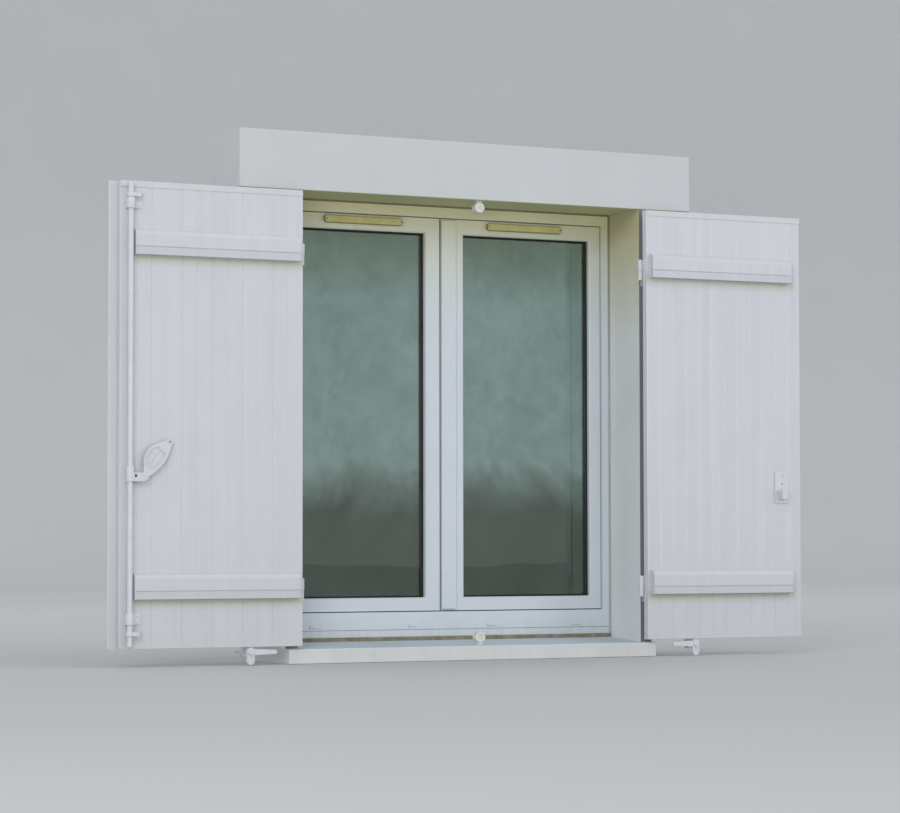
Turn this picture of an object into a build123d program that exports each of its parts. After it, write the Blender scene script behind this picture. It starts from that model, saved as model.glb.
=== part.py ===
from build123d import *
import math
import os

os.makedirs("parts", exist_ok=True)

# A two-leaf swing shutter with the window surround and casement window that it hangs in front of.
# Millimetres. X runs along the wall, Y into the wall, Z up.
# The origin is the middle of the sill's underside, on the wall face.

# Opening between the jambs, from the sill's front edge to the soffit
opening_width = 1200.0
opening_height = 1397.0

# Surround
surround_depth = 255.0
jamb_width = 40.0
lintel_bearing = 192.0
lintel_height = 180.0
sill_front_height = 45.0
sill_nose = 28.0
sill_rise = 12.0
sill_upstand_height = 14.0
sill_upstand_depth = 65.0
drip_radius = 4.0
drip_setback = 12.0
edge_round = 3.0

# Leaves
leaf_thickness = 24.0
leaf_floor_gap = 10.0
leaf_head_gap = 7.0
meeting_gap = 3.0
plank_pitch = 97.0
bead_pitch = 48.5
bead_depth = 2.0
tongue_length = 8.0
tongue_thickness = 7.0
plank_clearance = 0.2
shortest_plank = 1.0
rail_width = 25.0
rail_setback = 1.5
top_cap_height = 18.0
bottom_cap_height = 12.0
cap_wall = 1.5
cap_web = 3.0
cap_clearance = 0.1
cover_strip_reach = 27.0
cover_strip_lap = 18.0
cover_strip_thickness = 7.0
cover_strip_gap = 0.5
cover_rib_width = 8.0

# Bars across each leaf
bar_height = 76.0
bar_depth = 20.0
bar_start = 12.0
bar_end_gap = 41.5
bar_top_round = 17.0
bar_edge_round = 1.5
bar_groove_height = 24.0
bar_groove_width = 3.0
bar_groove_depth = 2.5
bar_end_thickness = 3.0
bar_end_rim = 0.8
lower_bar_rise = 145.0
upper_bar_drop = 218.0

# Hinges: pintle on the jamb, strap on the leaf's outer face
pin_inset = 5.5
pin_standoff = 16.0
pin_radius = 6.0
pin_clearance = 0.05
pin_chamfer = 1.5
knuckle_radius = 8.5
hinge_edge_gap = 8.5
strap_thickness = 5.0
strap_height = 35.0
strap_tip_flat = 2.0
strap_end_gap = 93.0
strap_lift_gap = 0.8
strap_above_bar = 3.0
pintle_height = 29.0
pintle_body_radius = 7.5
pintle_collar_radius = 6.8
pintle_collar_height = 1.2
pintle_plate_width = 30.0
pintle_plate_height = 64.0
pintle_plate_thickness = 4.0
pintle_plate_offset = 5.0
pintle_arm_thickness = 9.0

# Espagnolette bolt on the left leaf
rod_radius = 8.0
rod_from_free_edge = 28.0
rod_standoff = 13.0
rod_end_gap = 7.0
rod_clearance = 0.06
rod_chamfer = 1.0
guide_wall = 4.0
guide_height = 32.0
guide_foot_width = 24.0
guide_foot_thickness = 5.0
lower_guide_rise = 72.0
upper_guide_drop = 82.0
hook_collar_wall = 4.0
hook_height = 11.0
hook_reach = 33.0
hook_width = 7.0
hook_bulge = 7.5
lower_hook_rise = 39.0
upper_hook_drop = 48.0
clevis_height = 46.0
clevis_rise = 492.0
clevis_wall = 4.0
clevis_reach = 42.0
clevis_window_start = 11.0
clevis_window_width = 8.0
clevis_window_height = 9.0
clevis_window_drop = 2.0
clevis_eye_margin = 2.0
clevis_gap_clearance = 0.4
clevis_ear_thickness = 5.0
grip_thickness = 9.0
grip_length = 140.0
grip_tilt = 52.0
grip_eye_radius = 12.0
grip_eye_inset = 1.0
grip_pin_radius = 4.0
grip_lowered = 16.0
grip_neck = 8.0
grip_belly = 24.0
grip_back = 39.0
grip_slot_width = 9.0
grip_slot_depth = 3.0
grip_slot_start = 34.0
grip_slot_end = 92.0
grip_slot_roots = (17.0, 4.0, -8.0)
grip_slot_middles = (28.0, 8.5, -12.0)
grip_slot_lift = 1.0
grip_tip_radius = 9.0
grip_tip_hole_radius = 4.0

# Keeper for the grip, on the right leaf
keeper_from_free_edge = 75.0
keeper_rise = 439.0
keeper_width = 53.0
keeper_plate_height = 105.0
keeper_plate_thickness = 4.0
keeper_shelf_thickness = 6.0
keeper_lip_thickness = 5.0
keeper_lip_height = 28.0
keeper_shelf_width = 22.0
keeper_grip_clearance = 2.0

# Stops that the closed leaves meet
stop_radius = 17.0
stop_length = 24.0
stop_rise = 22.0
stop_offset = 30.0
stop_leaf_gap = 0.5
stop_rim_round = 4.0
stop_cup_radius = 9.0
stop_cup_depth = 3.0
stop_foot_width = 18.0
stop_foot_setback = 5.0

# Shutter dogs in the wall beside the sill
dog_from_hinge_edge = 172.0
dog_height = 40.0
dog_base_radius = 17.0
dog_base_chamfer = 2.0
dog_leaf_gap = 0.3
dog_shank_radius = 5.0
dog_shank_length = 60.0
dog_clearance = 0.05
dog_head_thickness = 9.0
dog_head_gap = 0.5
dog_hub_radius = 13.0
dog_tongue_length = 85.0
dog_tongue_width = 19.0
dog_tongue_tip = 6.0
dog_foot_length = 38.0
dog_foot_width = 24.0
dog_foot_rim = 3.5
dog_foot_recess = 2.0
dog_cap_radius = 9.0
dog_cap_thickness = 4.0
dog_cap_gap = 0.3
dog_cap_round = 2.0

# Casement window
frame_depth = 60.0
frame_side = 28.0
frame_head = 38.0
frame_sill_rail = 76.0
frame_foot_height = 21.0
frame_foot_recess = 8.0
frame_front_leg = 30.0
frame_rebate = 14.0
sash_recess = 10.0
sash_front_clearance = 3.0
sash_rear_clearance = 4.0
sash_inside_projection = 6.0
sash_side_stile = 42.0
sash_head_rail = 48.0
sash_foot_rail = 42.0
sash_meeting = -16.0
sash_meeting_gap = 5.0
left_meeting_stile = 50.0
right_meeting_stile = 82.0
sash_lip = 4.0
strip_width = 52.0
strip_thickness = 8.0
strip_end_gap = 4.0
strip_round = 3.0
pane_thickness = 4.0
pane_spacing = 12.0
pane_bite = 12.0
pane_clearance = 0.4
pane_setback = 19.0
spacer_width = 9.0
vent_length = 274.0
vent_height = 24.0
vent_depth = 12.0
vent_from_jamb = 313.0
vent_below_soffit = 59.0
vent_slot_depth = 7.0
vent_slot_height = 8.0
vent_wall = 2.0
vent_edge_round = 2.0
butt_radius = 7.0
butt_pin_radius = 4.0
butt_height = 42.0
butt_gap = 0.6
butt_inset = 12.0
butt_standoff = 13.0
butt_leaf_width = 30.0
butt_from_ends = 160.0
butt_pin_end_gap = 2.0
butt_top_wall = 1.5
rose_width = 30.0
rose_height = 150.0
rose_thickness = 10.0
rose_from_joint = 26.0
rose_hole_radius = 8.0
rose_hole_floor = 2.0
rose_edge_round = 2.0
handle_end_flat = 2.0
lever_height = 690.0
lever_clearance = 0.06
lever_reach = 42.0
lever_length = 122.0
lever_width = 20.0
lever_thickness = 13.0
lever_edge_round = 3.0

# Places worked out from the sizes above
jamb_x = opening_width / 2
jamb_outer_x = jamb_x + jamb_width
soffit_z = sill_front_height + opening_height
sill_back_z = sill_front_height + sill_rise
window_face_y = surround_depth - frame_depth
leaf_bottom = sill_front_height + leaf_floor_gap
leaf_top = soffit_z - leaf_head_gap
pin_x = jamb_x - pin_inset
leaf_hinge_x = pin_x + hinge_edge_gap
leaf_width = pin_x - hinge_edge_gap - meeting_gap / 2
leaf_free_x = leaf_hinge_x + leaf_width
leaf_back_y = -pin_standoff - strap_thickness / 2
leaf_front_y = leaf_back_y - leaf_thickness
cap_front_y = leaf_front_y - cap_clearance - cap_wall
cap_back_y = leaf_back_y + cap_clearance + cap_wall
closed_inner_y = -2 * pin_standoff - cap_front_y
rail_start_x = leaf_free_x - rail_width
rod_x = -(leaf_free_x - rod_from_free_edge)
rod_y = leaf_front_y - rod_standoff
lower_bar_z = leaf_bottom + lower_bar_rise
upper_bar_z = leaf_top - upper_bar_drop
clevis_z = leaf_bottom + clevis_rise
dog_from_middle = leaf_hinge_x + dog_from_hinge_edge
vent_from_middle = jamb_x - vent_from_jamb


def block(x, y, z):
    """A box between pairs of limits along each axis."""
    size = (x[1] - x[0], y[1] - y[0], z[1] - z[0])
    centre = ((x[0] + x[1]) / 2, (y[0] + y[1]) / 2, (z[0] + z[1]) / 2)
    return Pos(*centre) * Box(*size)


def post(radius, z, at):
    """A vertical cylinder between two heights."""
    return Pos(at[0], at[1], (z[0] + z[1]) / 2) * Cylinder(radius, z[1] - z[0])


def stud(radius, y, at):
    """A cylinder along Y between two depths, at an (x, z) place."""
    middle = Pos(at[0], (y[0] + y[1]) / 2, at[1])
    return middle * Rot(90, 0, 0) * Cylinder(radius, y[1] - y[0])


def upright(face, z):
    """A plan outline raised between two heights."""
    return extrude(Pos(0, 0, z[0]) * face, z[1] - z[0])


def along_wall(points, x):
    """A (y, z) outline pulled along X between two limits."""
    outline = Plane.YZ.offset(x[0]) * make_face(Polyline(*points, close=True))
    return extrude(outline, x[1] - x[0])


def facing(face, y):
    """An (x, z) outline given thickness between two depths, y[0] being the nearer to the viewer."""
    return extrude(Plane.XZ.offset(-y[1]) * face, y[1] - y[0])


def on_side(side, shape):
    """Shapes are made for the right-hand side, and mirrored for the left."""
    return shape if side == "right" else mirror(shape, about=Plane.YZ)


def save(name, shape):
    shape.label = name
    export_step(shape, f"parts/{name}.step")


# Surround

def sill_profile():
    top_back = sill_back_z + sill_upstand_height
    upstand_y = surround_depth - sill_upstand_depth
    return [
        (-sill_nose, 0),
        (-sill_nose, sill_front_height),
        (upstand_y, sill_back_z),
        (upstand_y, top_back),
        (surround_depth, top_back),
        (surround_depth, 0),
    ]


def sill():
    body = along_wall(sill_profile(), (-jamb_outer_x, jamb_outer_x))
    nose = body.edges().filter_by(Axis.X).group_by(Axis.Y)[0]
    body = fillet(nose, edge_round)
    drip_y = -sill_nose + drip_setback
    drip = Pos(0, drip_y, 0) * Rot(0, 90, 0) * Cylinder(drip_radius, 2 * jamb_outer_x)
    return body - drip


def jamb():
    body = block((jamb_x, jamb_outer_x), (0, surround_depth), (sill_front_height, soffit_z))
    return body - along_wall(sill_profile(), (jamb_x, jamb_outer_x))


def lintel():
    ends = jamb_x + lintel_bearing
    body = block((-ends, ends), (0, surround_depth), (soffit_z, soffit_z + lintel_height))
    front = body.edges().group_by(Axis.Y)[0]
    return fillet(front, edge_round)


def sill_top_at(y):
    rise = sill_rise / (sill_nose + surround_depth - sill_upstand_depth)
    return sill_front_height + (y + sill_nose) * rise


def stop(on_sill):
    """A round bumper with a cupped face towards the closed leaf, on a foot."""
    face_y = closed_inner_y + stop_leaf_gap
    end_y = face_y + stop_length
    foot_y = face_y + stop_foot_setback
    seat = sill_top_at(foot_y) if on_sill else soffit_z
    centre_z = seat + stop_rise if on_sill else seat - stop_rise
    body = stud(stop_radius, (face_y, end_y), (stop_offset, centre_z))
    body = fillet(body.edges().sort_by(Axis.Y)[0], stop_rim_round)
    body -= stud(stop_cup_radius, (face_y, face_y + stop_cup_depth), (stop_offset, centre_z))
    half = stop_foot_width / 2
    foot_end = sill_front_height if on_sill else soffit_z
    foot = block((stop_offset - half, stop_offset + half), (foot_y, end_y),
                 (min(foot_end, centre_z), max(foot_end, centre_z)))
    return body + foot - along_wall(sill_profile(), (0, 2 * stop_offset))


# Leaf panel

def plank(start, end, first, last):
    """One tongued and grooved plank in plan, with a vee at each bead on both faces."""
    front, back = leaf_front_y, leaf_back_y
    middle = (front + back) / 2
    left = start if first else start + plank_clearance / 2
    right = end if last else end - plank_clearance / 2
    body = make_face(Polyline((left, front), (right, front), (right, back), (left, back), close=True))
    half_tongue = tongue_thickness / 2
    if not last:
        reach = tongue_length - plank_clearance
        body += Pos(right + reach / 2, middle) * Rectangle(reach, 2 * (half_tongue - plank_clearance))
    if not first:
        body -= Pos(left + tongue_length / 2, middle) * Rectangle(tongue_length, 2 * half_tongue)
    bead_count = math.ceil((leaf_width - rail_width) / bead_pitch)
    vee_side = bead_depth * math.sqrt(2)
    for index in range(1, bead_count + 1):
        x = leaf_hinge_x + index * bead_pitch
        if left - bead_depth < x < right + bead_depth:
            for face_y in (front, back):
                body -= Pos(x, face_y) * Rot(0, 0, 45) * Rectangle(vee_side, vee_side)
    return upright(body, (leaf_bottom + cap_web, leaf_top - cap_web))


def planks():
    """The planks run from the hinge edge to the rail at the free edge."""
    starts = []
    x = leaf_hinge_x
    while x < rail_start_x - shortest_plank:
        starts.append(x)
        x += plank_pitch
    ends = starts[1:] + [rail_start_x]
    solids = []
    for index, (start, end) in enumerate(zip(starts, ends)):
        solids.append(plank(start, end, index == 0, index == len(starts) - 1))
    return Compound(children=[solid for shape in solids for solid in shape.solids()])


def free_edge_rail(set_back):
    front = leaf_front_y + set_back
    body = block((rail_start_x + plank_clearance, leaf_free_x), (front, leaf_back_y),
                 (leaf_bottom + cap_web, leaf_top - cap_web))
    corners = body.edges().filter_by(Axis.Z).group_by(Axis.X)[-1]
    return fillet(corners, edge_round)


def cap(at_top):
    """A channel that closes the planks' ends."""
    outer = leaf_top if at_top else leaf_bottom
    height = -top_cap_height if at_top else bottom_cap_height
    web = -cap_web if at_top else cap_web
    low, high = sorted((outer, outer + height))
    body = block((leaf_hinge_x, leaf_free_x), (cap_front_y, cap_back_y), (low, high))
    rims = body.edges().filter_by(Axis.X).group_by(Axis.Z)[-1 if at_top else 0]
    body = fillet(rims, cap_wall)
    slot = sorted((outer + web, outer + height))
    return body - block((leaf_hinge_x, leaf_free_x),
                        (leaf_front_y - cap_clearance, leaf_back_y + cap_clearance), slot)


def cover_strip():
    """The strip behind the left leaf's free edge, which laps over the other leaf when both are closed."""
    inner_y = cap_back_y + cover_strip_gap
    x = (leaf_free_x - cover_strip_lap, leaf_free_x + cover_strip_reach)
    strip = block(x, (inner_y, inner_y + cover_strip_thickness), (leaf_bottom, leaf_top))
    strip = fillet(strip.edges().filter_by(Axis.Z).group_by(Axis.X)[-1], edge_round)
    rib_x = leaf_free_x - cover_strip_lap / 2
    rib = block((rib_x - cover_rib_width / 2, rib_x + cover_rib_width / 2), (leaf_back_y, inner_y),
                (leaf_bottom + bottom_cap_height + cap_web, leaf_top - top_cap_height - cap_web))
    return strip + rib


# Bars

def bar_span(low, rim, x):
    """A length of bar on the leaf's inner face, its upper front edge rounded off. The rim makes it larger."""
    body = block(x, (leaf_front_y - bar_depth - rim, leaf_front_y), (low - rim, low + bar_height + rim))
    front_edges = body.edges().filter_by(Axis.X).group_by(Axis.Y)[0].sort_by(Axis.Z)
    body = fillet(front_edges[-1], bar_top_round + rim)
    front_edges = body.edges().filter_by(Axis.X).group_by(Axis.Y)[0].sort_by(Axis.Z)
    return fillet(front_edges[0], bar_edge_round)


def bar(low):
    start = leaf_hinge_x + bar_start + bar_end_thickness
    end = leaf_free_x - bar_end_gap - bar_end_thickness
    body = bar_span(low, 0, (start, end))
    groove_z = low + bar_groove_height
    front_y = leaf_front_y - bar_depth
    return body - block((start, end), (front_y, front_y + bar_groove_depth),
                        (groove_z - bar_groove_width / 2, groove_z + bar_groove_width / 2))


def bar_ends(low):
    start = leaf_hinge_x + bar_start
    end = leaf_free_x - bar_end_gap
    first = bar_span(low, bar_end_rim, (start, start + bar_end_thickness))
    second = bar_span(low, bar_end_rim, (end - bar_end_thickness, end))
    return Compound(children=first.solids() + second.solids())


# Hinges

def knuckle_limits(bar_low):
    """Heights of the strap's knuckle and of the pintle's body under it."""
    strap_low = bar_low + bar_height / 2 + strap_above_bar - strap_height / 2
    return strap_low, strap_low + strap_height, strap_low - strap_lift_gap - pintle_collar_height


def strap(bar_low):
    low, high, _ = knuckle_limits(bar_low)
    centre = (pin_x, -pin_standoff)
    end = leaf_free_x - strap_end_gap
    flat = block((pin_x, end), (leaf_back_y, leaf_back_y + strap_thickness), (low, high))
    point = flat.edges().filter_by(Axis.Y).group_by(Axis.X)[-1]
    flat = fillet(point, (strap_height - strap_tip_flat) / 2)
    body = flat + post(knuckle_radius, (low, high), centre)
    return body - post(pin_radius + pin_clearance, (low, high), centre)


def pintle(bar_low):
    """A plate on the jamb's face, an arm, and a body with a collar and the pin standing on it."""
    strap_low, strap_high, top = knuckle_limits(bar_low)
    low = top - pintle_height
    centre = (pin_x, -pin_standoff)
    plate_x = jamb_x + pintle_plate_offset
    middle = (low + top) / 2
    plate = block((plate_x, plate_x + pintle_plate_width), (-pintle_plate_thickness, 0),
                  (middle - pintle_plate_height / 2, middle + pintle_plate_height / 2))
    plate = fillet(plate.edges().filter_by(Axis.Y), edge_round)
    arm_end = (plate_x + pintle_arm_thickness, -pintle_plate_thickness / 2)
    arm = upright(trace(Line(centre, arm_end), pintle_arm_thickness), (low, top))
    arm -= block((plate_x - pintle_plate_width, plate_x + pintle_plate_width), (0, pin_standoff), (low, top))
    body = post(pintle_body_radius, (low, top), centre)
    collar = post(pintle_collar_radius, (top, top + pintle_collar_height), centre)
    pin = post(pin_radius, (low, strap_high), centre)
    pin = chamfer(pin.edges().sort_by(Axis.Z)[-1], pin_chamfer)
    return plate + arm + body + collar + pin


# Espagnolette bolt, in place on the left leaf

def rod():
    low = leaf_bottom + rod_end_gap
    high = leaf_top - rod_end_gap
    body = post(rod_radius, (low, high), (rod_x, rod_y))
    return chamfer(body.edges().filter_by(GeomType.CIRCLE), rod_chamfer)


def guide(low):
    """A bracket on the leaf that the rod turns in, with its foot towards the hinges."""
    high = low + guide_height
    outer = rod_radius + guide_wall
    body = post(outer, (low, high), (rod_x, rod_y))
    body += block((rod_x - outer, rod_x + outer), (rod_y, leaf_front_y), (low, high))
    foot = block((rod_x, rod_x + outer + guide_foot_width),
                 (leaf_front_y - guide_foot_thickness, leaf_front_y), (low, high))
    foot = fillet(foot.edges().filter_by(Axis.Y).group_by(Axis.X)[-1], edge_round)
    return body + foot - post(rod_radius + rod_clearance, (low, high), (rod_x, rod_y))


def hook(low):
    """A collar on the rod with a curved finger that catches when the rod is turned."""
    collar = Circle(rod_radius + hook_collar_wall)
    bend = ThreePointArc((0, -hook_bulge / 2), (hook_reach / 2, -hook_bulge), (hook_reach, 0))
    outline = collar + trace(bend, hook_width) + Pos(hook_reach, 0) * Circle(hook_width / 2)
    outline -= Circle(rod_radius + rod_clearance)
    return upright(Pos(rod_x, rod_y) * outline, (low, low + hook_height))


def grip_pivot():
    return rod_x + clevis_reach, clevis_z + grip_eye_radius + clevis_eye_margin


def clevis():
    """The bracket clamped to the rod, with two ears for the grip's pin."""
    low, high = clevis_z, clevis_z + clevis_height
    outer = rod_radius + clevis_wall
    pivot_x, pivot_z = grip_pivot()
    ear_half = grip_thickness / 2 + clevis_gap_clearance + clevis_ear_thickness
    body = post(outer, (low, high), (rod_x, rod_y))
    ears = block((rod_x, pivot_x), (rod_y - ear_half, rod_y + ear_half), (low, pivot_z + grip_eye_radius))
    nose = stud(grip_eye_radius, (rod_y - ear_half, rod_y + ear_half), (pivot_x, pivot_z))
    body += ears + nose
    slot_half = grip_thickness / 2 + clevis_gap_clearance
    slot_start = pivot_x - grip_eye_radius - clevis_gap_clearance
    body -= block((slot_start, pivot_x + grip_length), (rod_y - slot_half, rod_y + slot_half),
                  (low, high))
    pin = stud(grip_pin_radius, (rod_y - ear_half, rod_y + ear_half), (pivot_x, pivot_z))
    window_x = rod_x + clevis_window_start
    window_low = pivot_z - clevis_window_drop
    window = block((window_x, window_x + clevis_window_width), (rod_y - ear_half, rod_y + ear_half),
                   (window_low, window_low + clevis_window_height))
    body = body + pin - window
    return body - post(rod_radius + rod_clearance, (low, high), (rod_x, rod_y))


def grip_outline():
    """The grip lying along +X from its pin: an eye, a leaf-shaped fan and a round tip."""
    eye = Circle(grip_eye_radius - grip_eye_inset)
    tip_x = grip_length - grip_tip_radius
    back = Spline((0, grip_neck), (0.12 * tip_x, 0.34 * grip_back), (0.34 * tip_x, 0.88 * grip_back),
                  (0.6 * tip_x, grip_back), (tip_x, grip_tip_radius), tangents=((1, 0.1), (1, -0.6)))
    belly = Spline((tip_x, -grip_tip_radius), (0.74 * tip_x, -0.84 * grip_belly), (0.52 * tip_x, -grip_belly),
                   (0, -grip_neck), tangents=((-1, -0.3), (-1, 0.35)))
    fan = make_face(back + Line(back @ 1, belly @ 0) + belly + Line(belly @ 1, back @ 0))
    tip = Pos(tip_x, 0) * Circle(grip_tip_radius)
    return eye + fan + tip - Pos(tip_x, 0) * Circle(grip_tip_hole_radius)


def grip_slots():
    """The long hollows between the ribs."""
    middle_x = (grip_slot_start + grip_slot_end) / 2
    slots = []
    for root, middle in zip(grip_slot_roots, grip_slot_middles):
        start, end = (grip_slot_start, root), (grip_slot_end, root + grip_slot_lift)
        slot = trace(ThreePointArc(start, (middle_x, middle), end), grip_slot_width)
        slots.append(slot + Pos(*start) * Circle(grip_slot_width / 2) + Pos(*end) * Circle(grip_slot_width / 2))
    return slots


def grip():
    pivot_x, pivot_z = grip_pivot()
    half = grip_thickness / 2
    lying = facing(grip_outline() - Circle(grip_pin_radius + pin_clearance), (-half, half))
    for slot in grip_slots():
        lying -= facing(slot, (-half, -half + grip_slot_depth))
        lying -= facing(slot, (half - grip_slot_depth, half))
    return Pos(pivot_x, rod_y, pivot_z) * Rot(0, -grip_tilt, 0) * lying


def keeper():
    """A plate with a cradle, where the lowered grip rests once both leaves are closed."""
    _, pivot_z = grip_pivot()
    x = leaf_free_x - keeper_from_free_edge
    half = keeper_width / 2
    shelf_half = keeper_shelf_width / 2
    lowered = math.radians(grip_lowered)
    closed_reach = keeper_from_free_edge + meeting_gap + rod_from_free_edge - clevis_reach + shelf_half
    drop = closed_reach * math.tan(lowered) + grip_belly / math.cos(lowered)
    shelf_top = pivot_z - drop - keeper_grip_clearance
    shelf_low = shelf_top - keeper_shelf_thickness
    lip_y = rod_y - grip_thickness / 2 - keeper_grip_clearance
    plate_low = leaf_bottom + keeper_rise
    plate = block((x - half, x + half), (leaf_front_y - keeper_plate_thickness, leaf_front_y),
                  (plate_low, plate_low + keeper_plate_height))
    plate = fillet(plate.edges().filter_by(Axis.Y), 2 * edge_round)
    shelf = block((x - shelf_half, x + shelf_half), (lip_y - keeper_lip_thickness, leaf_front_y),
                  (shelf_low, shelf_top))
    lip = block((x - shelf_half, x + shelf_half), (lip_y - keeper_lip_thickness, lip_y),
                (shelf_low, shelf_top + keeper_lip_height))
    lip = fillet(lip.edges().filter_by(Axis.Y).group_by(Axis.Z)[-1], edge_round)
    return plate + shelf + lip


# Shutter dogs

def dog_head_limits():
    back = cap_front_y - dog_head_gap
    return back - dog_head_thickness, back


def dog_stem():
    """The part fixed in the wall: a base that the open leaf stands off from, and the pivot under the leaf."""
    at = (dog_from_middle, dog_height)
    head_front, _ = dog_head_limits()
    cap_y = head_front - dog_cap_gap
    base = stud(dog_base_radius, (cap_back_y + dog_leaf_gap, 0), at)
    base = chamfer(base.edges().group_by(Axis.Y)[0], dog_base_chamfer)
    shank = stud(dog_shank_radius, (cap_y - dog_cap_thickness, dog_shank_length), at)
    button = stud(dog_cap_radius, (cap_y - dog_cap_thickness, cap_y), at)
    button = fillet(button.edges().group_by(Axis.Y)[0], dog_cap_round)
    return base + shank + button


def dog_head():
    """The head turned down: its tongue lies towards the window, and its hollowed foot hangs."""
    hub = Circle(dog_hub_radius)
    half_root = dog_tongue_width / 2
    tip_x = dog_tongue_length - dog_tongue_tip
    tongue = make_face(Polyline((0, -half_root), (tip_x, -dog_tongue_tip), (tip_x, dog_tongue_tip),
                                (0, half_root), close=True))
    tip = Pos(tip_x, 0) * Circle(dog_tongue_tip)
    foot_end = dog_foot_length - dog_foot_width / 2
    foot = Pos(0, -foot_end / 2) * Rectangle(dog_foot_width, foot_end)
    foot_tip = Pos(0, -foot_end) * Circle(dog_foot_width / 2)
    outline = hub + tongue + tip + foot + foot_tip - Circle(dog_shank_radius + dog_clearance)
    turned = mirror(outline, about=Plane.YZ)
    front, back = dog_head_limits()
    hollow_radius = dog_foot_width / 2 - dog_foot_rim
    hollow_top = dog_shank_radius + dog_foot_rim + dog_foot_width / 2
    hollow = Pos(0, -hollow_top) * Circle(hollow_radius)
    hollow += Pos(0, -foot_end) * Circle(hollow_radius)
    hollow += Pos(0, -(hollow_top + foot_end) / 2) * Rectangle(2 * hollow_radius, foot_end - hollow_top)
    head = facing(turned, (front, back)) - facing(hollow, (front, front + dog_foot_recess))
    return Pos(dog_from_middle, 0, dog_height) * head


# Casement window

def window_frame():
    low = sill_back_z + sill_upstand_height
    rear_y = window_face_y + frame_front_leg
    outer = block((-jamb_x, jamb_x), (window_face_y, surround_depth), (low, soffit_z))
    front_x = jamb_x - frame_side
    rear_x = front_x + frame_rebate
    sash_low = low + frame_sill_rail
    sash_high = soffit_z - frame_head
    front_hole = block((-front_x, front_x), (window_face_y, rear_y), (sash_low, sash_high))
    rear_hole = block((-rear_x, rear_x), (rear_y, surround_depth),
                      (sash_low - frame_rebate, sash_high + frame_rebate))
    foot = block((-jamb_x, jamb_x), (window_face_y, window_face_y + frame_foot_recess),
                 (low, low + frame_foot_height))
    return outer - front_hole - rear_hole - foot


def sash_limits():
    """Limits of a sash's front part, as (outer x, low z, high z)."""
    low = sill_back_z + sill_upstand_height + frame_sill_rail + sash_front_clearance
    high = soffit_z - frame_head - sash_front_clearance
    return jamb_x - frame_side - sash_front_clearance, low, high


def meeting_edge(side):
    """Distance of the sash's meeting edge from the middle, towards its own hinges."""
    joint = sash_meeting if side == "right" else -sash_meeting
    return joint + sash_meeting_gap / 2


def aperture(side):
    outer, low, high = sash_limits()
    stile = right_meeting_stile if side == "right" else left_meeting_stile
    x = (meeting_edge(side) + stile, outer - sash_side_stile + sash_front_clearance)
    return x, (low + sash_foot_rail, high - sash_head_rail)


def glazing_depths():
    front = window_face_y + sash_recess + pane_setback
    return front, front + 2 * pane_thickness + pane_spacing


def glazing_pocket(side, clearance):
    x, z = aperture(side)
    y = glazing_depths()
    bite = pane_bite + clearance
    return block((x[0] - bite, x[1] + bite), (y[0] - clearance, y[1] + clearance), (z[0] - bite, z[1] + bite))


def sash(side):
    outer, low, high = sash_limits()
    inner = meeting_edge(side)
    front_y = window_face_y + sash_recess
    step_y = window_face_y + frame_front_leg + sash_rear_clearance
    back_y = surround_depth + sash_inside_projection
    step = sash_front_clearance + frame_rebate - sash_rear_clearance
    body = block((inner, outer), (front_y, step_y), (low, high))
    body += block((inner, outer + step), (step_y, back_y), (low - step, high + step))
    x, z = aperture(side)
    hole = block(x, (front_y, back_y), z)
    body = body - hole - glazing_pocket(side, pane_clearance)
    lip = body.faces().sort_by(Axis.Y)[0].inner_wires()[0].edges()
    return chamfer(lip, sash_lip)


def meeting_strip():
    """The moulding down the right sash's meeting edge."""
    _, low, high = sash_limits()
    start = meeting_edge("right")
    face_y = window_face_y + sash_recess
    body = block((start, start + strip_width), (face_y - strip_thickness, face_y),
                 (low + strip_end_gap, high - strip_end_gap))
    return fillet(body.edges().group_by(Axis.Y)[0], strip_round)


def glazing(side):
    y = glazing_depths()
    whole = glazing_pocket(side, 0)
    middle = block((-jamb_x, jamb_x), (y[0] + pane_thickness, y[1] - pane_thickness), (0, soffit_z))
    return Compound(children=(whole - middle).solids())


def spacer(side):
    y = glazing_depths()
    x, z = aperture(side)
    between = (y[0] + pane_thickness, y[1] - pane_thickness)
    outer = block((x[0] - pane_bite, x[1] + pane_bite), between, (z[0] - pane_bite, z[1] + pane_bite))
    inset = spacer_width - pane_bite
    return outer - block((x[0] + inset, x[1] - inset), between, (z[0] + inset, z[1] - inset))


def vent_cover():
    """A slim cover over a trickle vent, open along its underside."""
    face_y = window_face_y + sash_recess
    z = soffit_z - vent_below_soffit
    ends = (vent_from_middle - vent_length / 2, vent_from_middle + vent_length / 2)
    body = block(ends, (face_y - vent_depth, face_y), (z - vent_height / 2, z + vent_height / 2))
    corners = body.edges().filter_by(Axis.Y)
    body = fillet(corners, vent_height / 2 - vent_edge_round)
    body = fillet(body.edges().group_by(Axis.Y)[0], vent_edge_round)
    slot_x = (ends[0] + vent_height, ends[1] - vent_height)
    low = z - vent_height / 2
    return body - block(slot_x, (face_y - vent_slot_depth, face_y - vent_wall), (low, low + vent_slot_height))


def butt_heights():
    _, low, high = sash_limits()
    return low + butt_from_ends, high - butt_from_ends


def butt_centre():
    return jamb_x - butt_inset, surround_depth + butt_standoff


def frame_butts():
    """The window hinges' lower barrels and pins, on the frame."""
    centre = butt_centre()
    halves = []
    for z in butt_heights():
        low, high = z - butt_height, z - butt_gap / 2
        body = post(butt_radius, (low, high), centre)
        body += block((centre[0], jamb_x), (surround_depth, centre[1]), (low, high))
        body += post(butt_pin_radius, (low, z + butt_height - butt_pin_end_gap), centre)
        halves += body.solids()
    return Compound(children=halves)


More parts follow.
